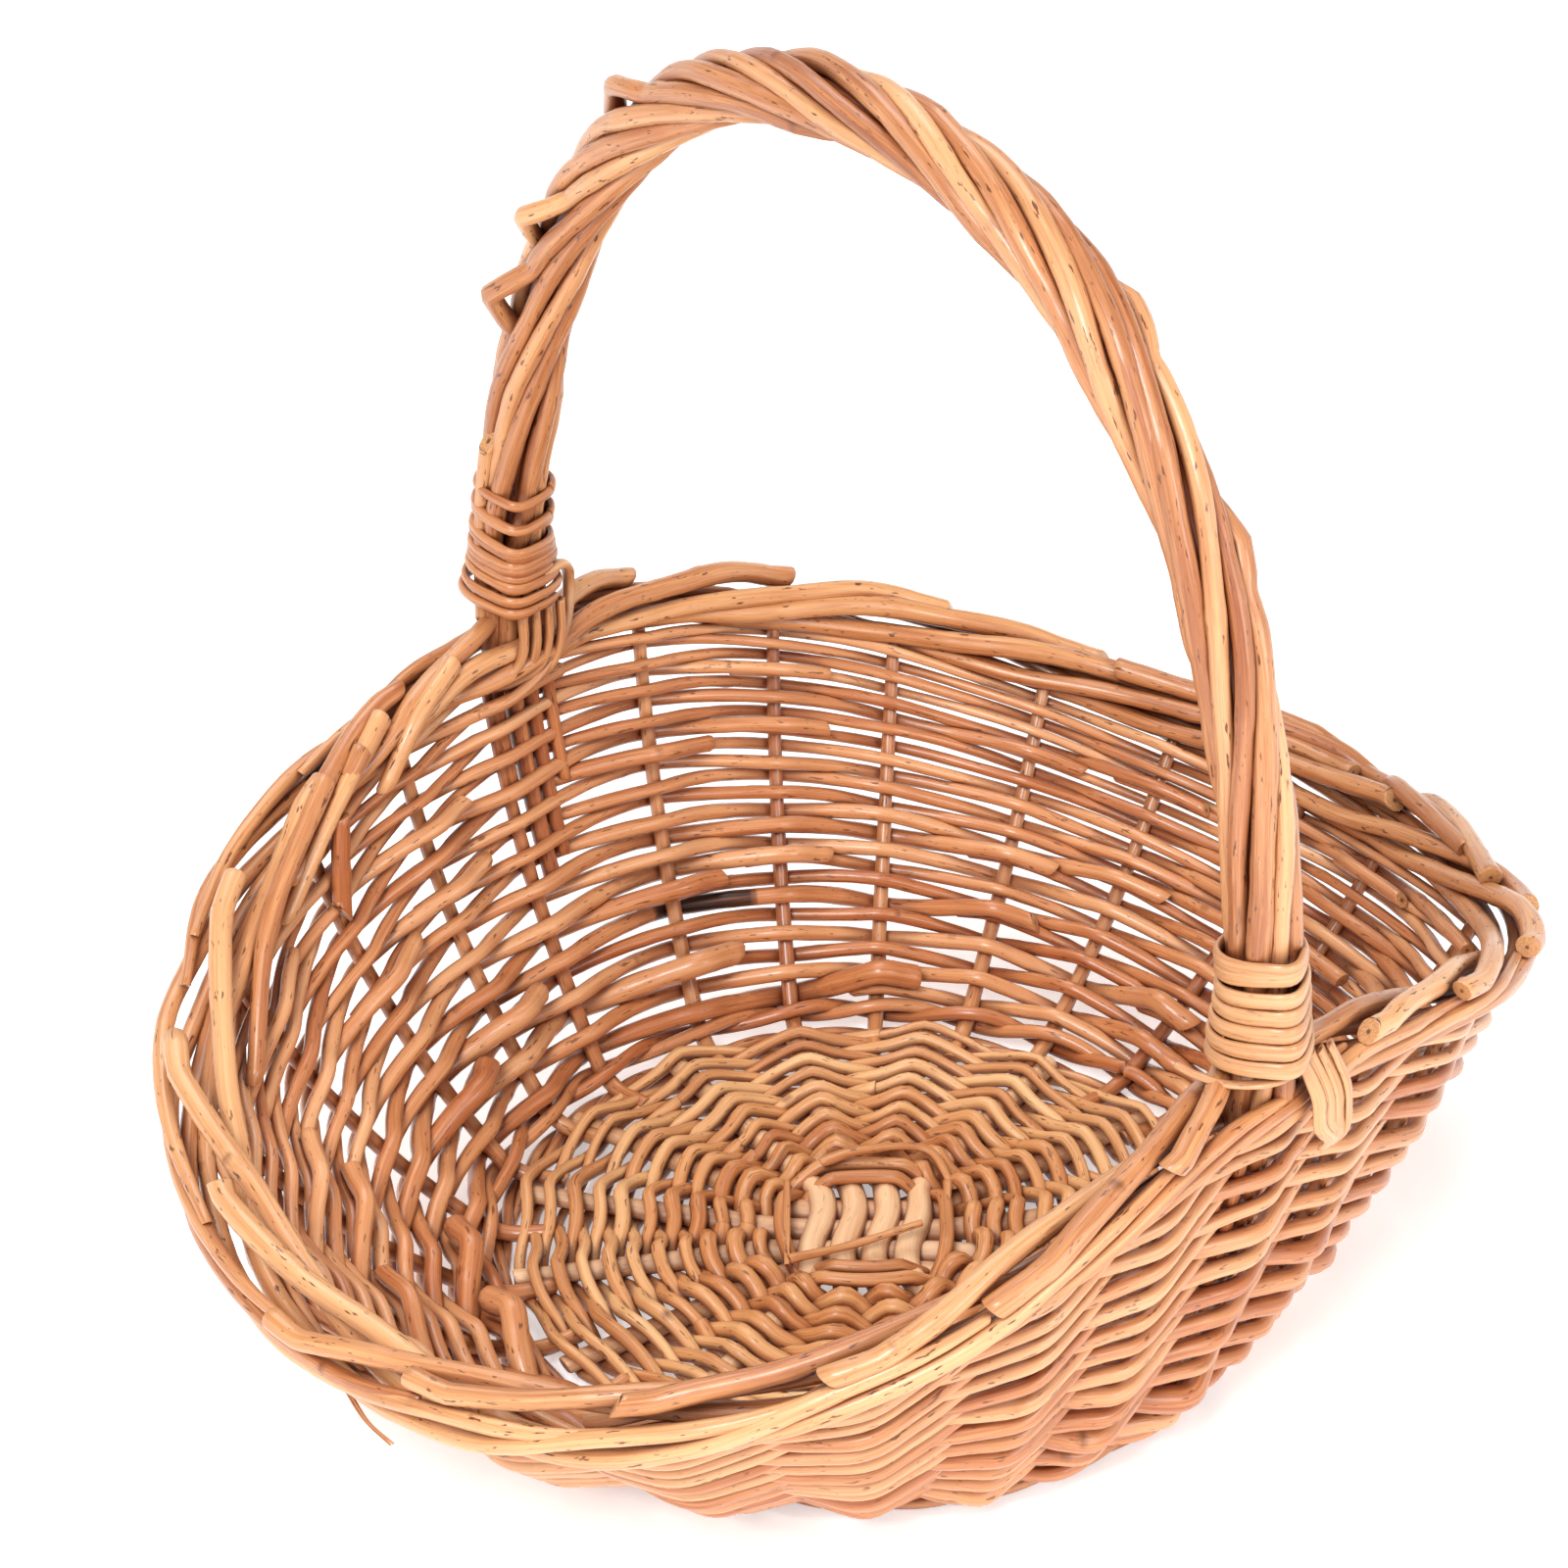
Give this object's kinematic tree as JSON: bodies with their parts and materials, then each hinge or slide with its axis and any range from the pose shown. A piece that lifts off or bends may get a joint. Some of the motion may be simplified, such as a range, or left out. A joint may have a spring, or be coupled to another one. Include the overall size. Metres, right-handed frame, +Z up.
{
  "type": "woven fruit basket",
  "caption": "Oval woven willow fruit basket with a low round base, flared dipping rim, roped border and a fixed twisted arch handle.",
  "frame": {"origin": "on the ground under the middle of the rim; the middle of the round base lies 4.9 mm from it towards -Y", "axes": "+X along the long axis of the rim, +Y from the near handle foot to the far one, +Z up"},
  "size_m": [0.3663, 0.3169, 0.3403],
  "materials": {
    "pale_split_willow": "satin",
    "peeled_stick": "satin",
    "buff_weaver": "satin",
    "buff_stake": "satin",
    "buff_border_rod": "satin",
    "buff_handle_rod": "satin",
    "binding_split": "satin"
  },
  "bodies": {
    "root": {"base_split_stick_1": "peeled_stick", "base_split_stick_2": "peeled_stick", "base_split_stick_3": "peeled_stick", "base_split_stick_4": "peeled_stick", "base_through_stick_1": "peeled_stick", "base_through_stick_2": "peeled_stick", "base_through_stick_3": "peeled_stick", "base_through_stick_4": "peeled_stick", "base_weave_1": "pale_split_willow", "base_weave_2": "pale_split_willow", "base_weave_3": "pale_split_willow", "base_weave_4": "pale_split_willow", "base_weave_5": "pale_split_willow", "base_weave_6": "pale_split_willow", "base_weave_7": "pale_split_willow", "border_rods_1": "buff_border_rod", "border_rods_2": "buff_border_rod", "border_rods_3": "buff_border_rod", "border_rods_4": "buff_border_rod", "border_rods_5": "buff_border_rod", "border_rods_6": "buff_border_rod", "foot_ring": "buff_weaver", "handle_binding_far": "binding_split", "handle_binding_near": "binding_split", "handle_bow": "buff_handle_rod", "handle_rod_1": "buff_handle_rod", "handle_rod_2": "buff_handle_rod", "handle_rod_3": "buff_handle_rod", "handle_rod_4": "buff_handle_rod", "handle_rod_5": "buff_handle_rod", "handle_rod_6": "buff_handle_rod", "handle_rod_7": "buff_handle_rod", "handle_rod_8": "buff_handle_rod", "handle_tie_far": "binding_split", "handle_tie_near": "binding_split", "side_row_01": "buff_weaver", "side_row_02": "buff_weaver", "side_row_03": "buff_weaver", "side_row_04": "buff_weaver", "side_row_05": "buff_weaver", "side_row_06": "buff_weaver", "side_row_07": "buff_weaver", "side_row_08": "buff_weaver", "side_row_09": "buff_weaver", "side_row_10": "buff_weaver", "side_row_11": "buff_weaver", "side_row_12": "buff_weaver", "side_row_13": "buff_weaver", "side_row_14": "buff_weaver", "side_row_15": "buff_weaver", "side_row_16": "buff_weaver", "side_row_17": "buff_weaver", "side_row_18": "buff_weaver", "stakes_1": "buff_stake", "stakes_2": "buff_stake", "stakes_3": "buff_stake", "stakes_4": "buff_stake", "upsett_round": "buff_weaver"}
  },
  "joints": []
}
